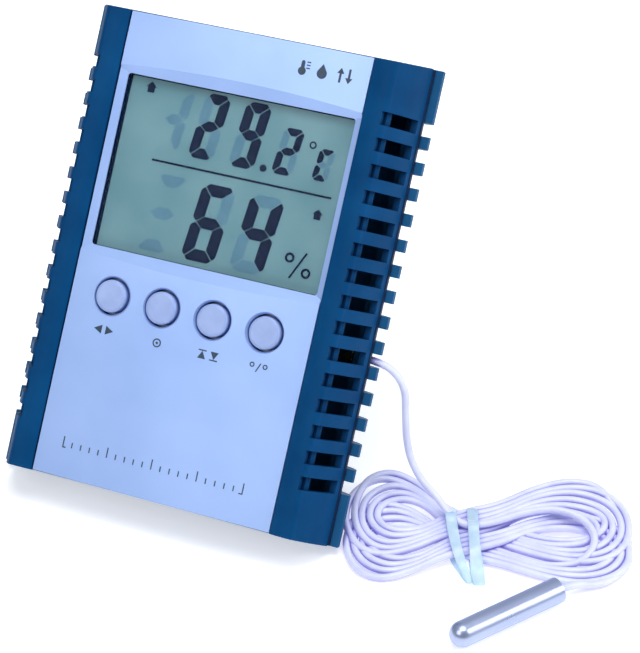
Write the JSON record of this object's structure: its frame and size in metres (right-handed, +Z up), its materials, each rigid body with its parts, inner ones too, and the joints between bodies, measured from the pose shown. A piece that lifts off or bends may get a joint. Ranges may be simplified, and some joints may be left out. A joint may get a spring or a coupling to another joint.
{
  "type": "maximum minimum thermometer",
  "caption": "Slim indoor and outdoor thermometer and hygrometer with a large display, round buttons, ribbed sides, a fold-out stand and a steel probe on a tied cable.",
  "frame": {"origin": "on the table, under the middle of the case and its open stand, with the free cable and probe left out", "axes": "+X to the right across the display, +Y to the back, +Z up; the case leans back 34 degrees on its stand"},
  "size_m": [0.1496, 0.0874, 0.102],
  "materials": {
    "housing": "fine satin texture",
    "rear_shell": "fine satin texture",
    "panel": "metallic silver spray",
    "lens": "clear polished acrylic",
    "display": "liquid crystal glass behind a polarising film",
    "film": "satin polarising film",
    "reflector": "satin foil",
    "white_plastic": "moulded, as it comes from the tool",
    "strip": "striped silicone",
    "button": "satin",
    "keypad": "translucent silicone",
    "board": "green solder mask",
    "screw": "bright zinc plate",
    "resin": "black epoxy",
    "can": "tinned can",
    "chip": "ceramic",
    "sensor": "white moulded case",
    "bead": "epoxy bead",
    "cell": "printed sleeve",
    "contact": "nickel plate",
    "wire": "insulated wire",
    "cable": "smooth vinyl",
    "tie": "translucent plastic film",
    "steel": "drawn stainless steel, polished",
    "gasket": "smooth dark rubber",
    "seal": "cast resin"
  },
  "bodies": {
    "case": {"front_housing": "housing", "front_panel": "panel", "seam_gasket": "gasket", "window_lens": "lens", "display_frame": "white_plastic", "display_glass": "display", "display_film": "film", "display_reflector": "reflector", "contact_strip": "strip", "rubber_keypad": "keypad", "circuit_board": "board", "board_screws": "screw", "chip_cover": "resin", "crystal": "can", "small_chips": "chip", "humidity_sensor": "sensor", "room_thermistor": "bead", "rear_housing": "rear_shell", "battery": "cell", "battery_contacts": "contact", "battery_spring": "contact", "battery_wires": "wire", "probe_wires": "wire", "cable_clamp": "white_plastic", "case_screws": "screw", "cable_tube": "cable", "cable_hank": "cable", "twist_tie": "tie", "probe_sheath": "steel", "probe_seal": "seal", "probe_bead": "bead", "probe_lead": "cable"},
    "in_out_button": {"button_in_out": "button"},
    "reset_button": {"button_reset": "button"},
    "max_min_button": {"button_max_min": "button"},
    "unit_button": {"button_unit": "button"},
    "stand": {"stand_leg": "rear_shell"},
    "door": {"battery_door": "rear_shell"}
  },
  "joints": [
    {"name": "in_out_press", "type": "slide", "parent": "case", "child": "in_out_button", "axis": [0, 0.829, -0.5592], "range_m": [0, 0.0008], "stiffness_N_per_m": 400},
    {"name": "reset_press", "type": "slide", "parent": "case", "child": "reset_button", "axis": [0, 0.829, -0.5592], "range_m": [0, 0.0008], "stiffness_N_per_m": 400},
    {"name": "max_min_press", "type": "slide", "parent": "case", "child": "max_min_button", "axis": [0, 0.829, -0.5592], "range_m": [0, 0.0008], "stiffness_N_per_m": 400},
    {"name": "unit_press", "type": "slide", "parent": "case", "child": "unit_button", "axis": [0, 0.829, -0.5592], "range_m": [0, 0.0008], "stiffness_N_per_m": 400},
    {"name": "stand_fold", "type": "hinge", "parent": "case", "child": "stand", "pos_m": [0, 0.01053, 0.05212], "axis": [-1, 0, 0], "range_deg": [0, 49]},
    {"name": "door_lift", "type": "slide", "parent": "case", "child": "door", "axis": [0, 0.829, -0.5592], "range_m": [0, 0.025]}
  ]
}
